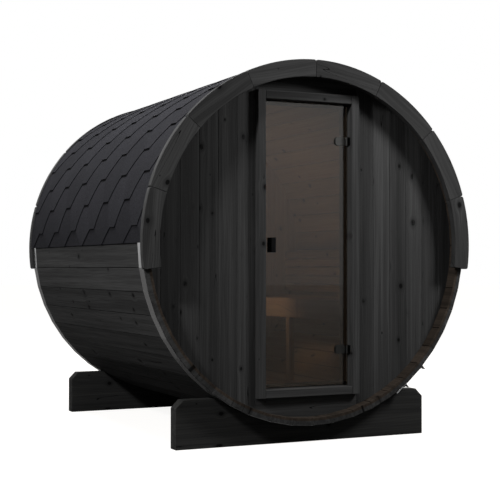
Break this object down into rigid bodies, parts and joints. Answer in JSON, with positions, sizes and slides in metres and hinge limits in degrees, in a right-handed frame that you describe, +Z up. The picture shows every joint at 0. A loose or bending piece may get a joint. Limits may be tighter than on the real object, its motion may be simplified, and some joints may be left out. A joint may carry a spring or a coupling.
{
  "type": "barrel sauna",
  "caption": "Round timber cabin of tongued staves on saddled cradles, with a hinged glass door, steel hoops, a shingled top, a slatted bench and a backrest.",
  "frame": {"origin": "on the ground, at the centre of the footprint", "axes": "+Z up, +Y from the glass door towards the closed rear wall along the barrel's axis, +X to the right of a person facing the door"},
  "size_m": [2.092, 2.284, 2.1799],
  "materials": {
    "black_timber": "spruce under a thin black stain, grain and knots showing",
    "natural_timber": "bare planed spruce",
    "roof_shingles": "bitumen shingles with slate granules",
    "stainless_steel": "rolled strip, dull bright",
    "tinted_glass": "bronze-tinted toughened glass",
    "hinge_metal": "satin black nickel",
    "black_plastic": "matt black"
  },
  "bodies": {
    "cabin": {"staves_right_upper": "black_timber", "staves_top_right": "black_timber", "staves_top_left": "black_timber", "staves_left_upper": "black_timber", "staves_left_lower": "black_timber", "staves_bottom_left": "black_timber", "staves_bottom_right": "black_timber", "staves_right_lower": "black_timber", "front_wall_left": "black_timber", "front_wall_right": "black_timber", "front_wall_over_door": "black_timber", "front_wall_under_door": "black_timber", "rear_wall": "black_timber", "door_jamb_right": "black_timber", "door_jamb_left": "black_timber", "door_head": "black_timber", "door_sill": "black_timber", "hinge_brackets": "hinge_metal", "front_hoop": "stainless_steel", "rear_hoop": "stainless_steel", "front_hoop_tensioner": "stainless_steel", "rear_hoop_tensioner": "stainless_steel", "roof_left": "roof_shingles", "roof_right": "roof_shingles", "front_fascia_left": "black_timber", "front_fascia_right": "black_timber", "rear_fascia_left": "black_timber", "rear_fascia_right": "black_timber", "front_cradle": "black_timber", "rear_cradle": "black_timber", "floor_deck": "natural_timber", "floor_bearers": "natural_timber", "bench_apron": "natural_timber", "bench_seat": "natural_timber", "bench_bearers": "natural_timber", "bench_leg": "natural_timber", "backrest_slats": "natural_timber", "backrest_brackets": "natural_timber"},
    "door": {"door_glass": "tinted_glass", "hinge_clamps": "hinge_metal", "door_handle": "black_plastic"}
  },
  "joints": [
    {"name": "door_hinge", "type": "hinge", "parent": "cabin", "child": "door", "pos_m": [0.266, -1.02, 1.13], "axis": [0, 0, 1], "range_deg": [0, 100]}
  ]
}
